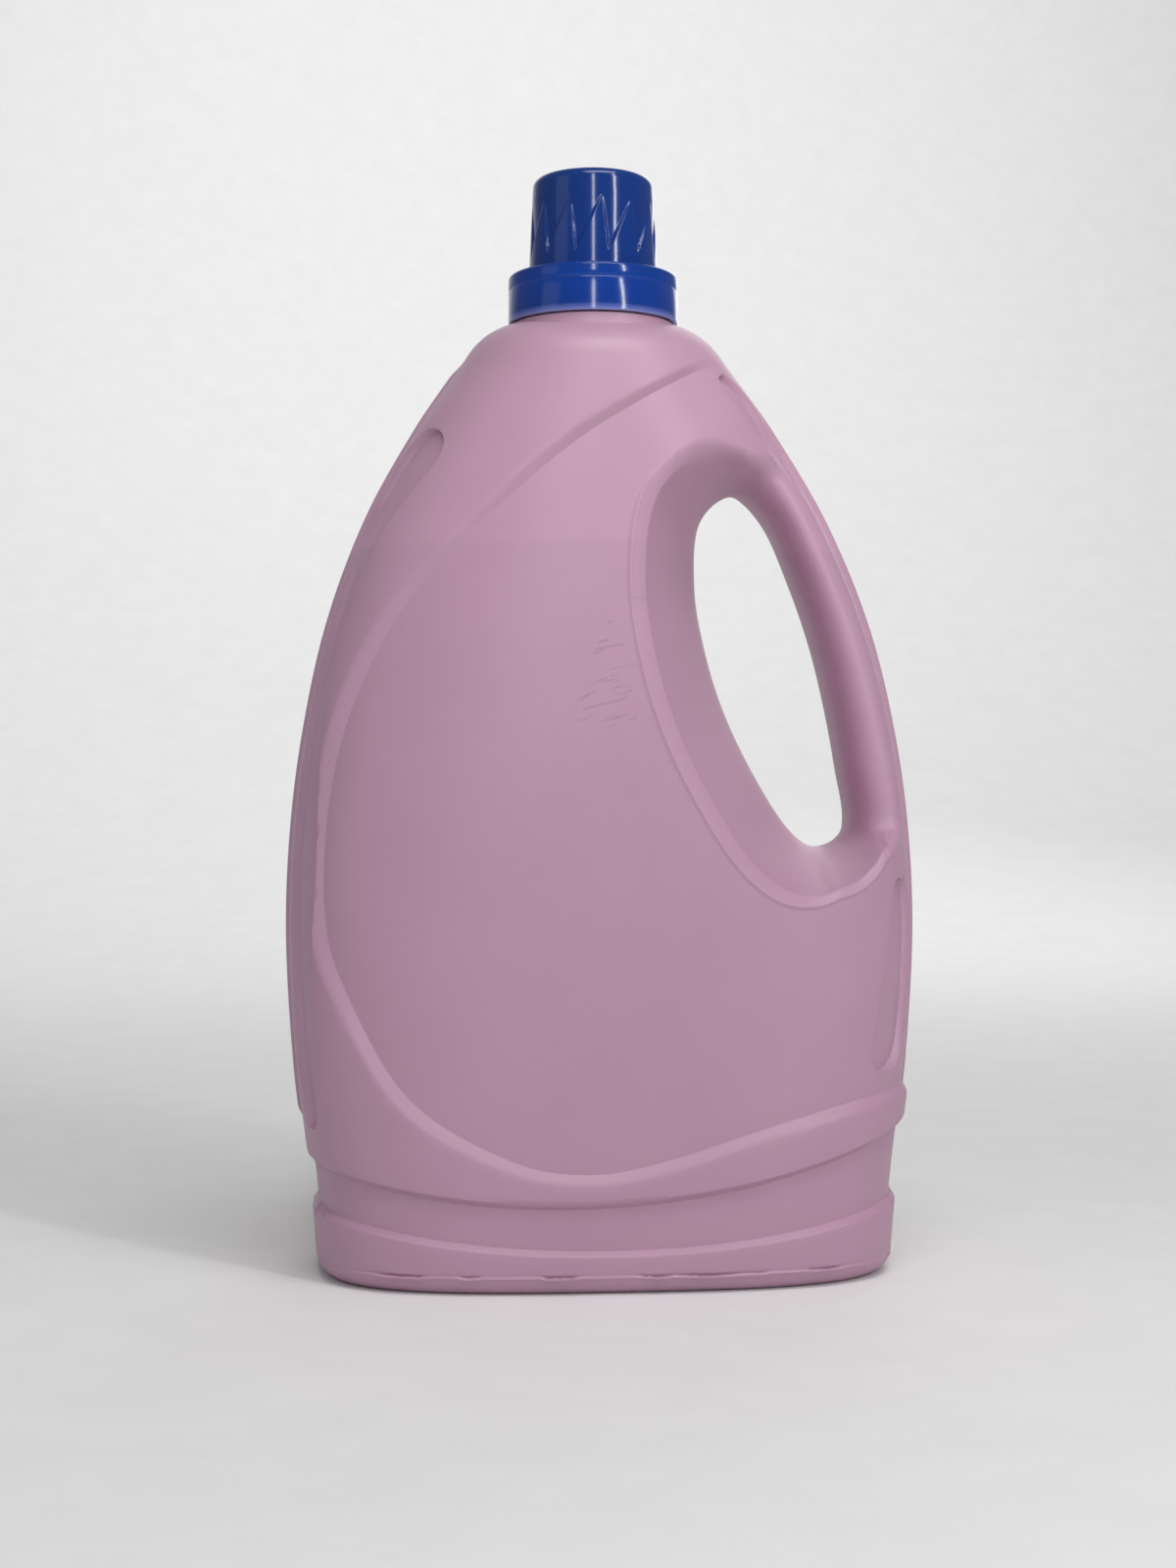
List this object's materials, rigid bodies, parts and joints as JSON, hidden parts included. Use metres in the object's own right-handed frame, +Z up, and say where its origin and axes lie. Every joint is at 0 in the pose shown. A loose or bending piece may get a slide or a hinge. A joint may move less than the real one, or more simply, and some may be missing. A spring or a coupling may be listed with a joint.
{
  "type": "fabric softener jug",
  "caption": "Blow-moulded jug with an oval body, sunk front and back panels, a moulded-in handle, a pouring spout in the neck and a screw-on dosing cap that doubles as a measuring cup.",
  "frame": {"origin": "middle of the base on the table, under the middle of the body's outline", "axes": "+Z up, +X to the handle, -Y to the front panel that the picture shows"},
  "size_m": [0.1862, 0.0972, 0.3201],
  "materials": {
    "bottle": "satin blow-moulded polyethylene, pink",
    "spout": "natural white moulded polyethylene",
    "cap": "glossy, slightly translucent blue polypropylene"
  },
  "bodies": {
    "jug": {"bottle": "bottle", "pour_spout": "spout"},
    "cap": {"dosing_cap": "cap"}
  },
  "joints": [
    {"name": "cap_lift", "type": "slide", "parent": "jug", "child": "cap", "axis": [0, 0, 1], "range_m": [0, 0.06]}
  ]
}
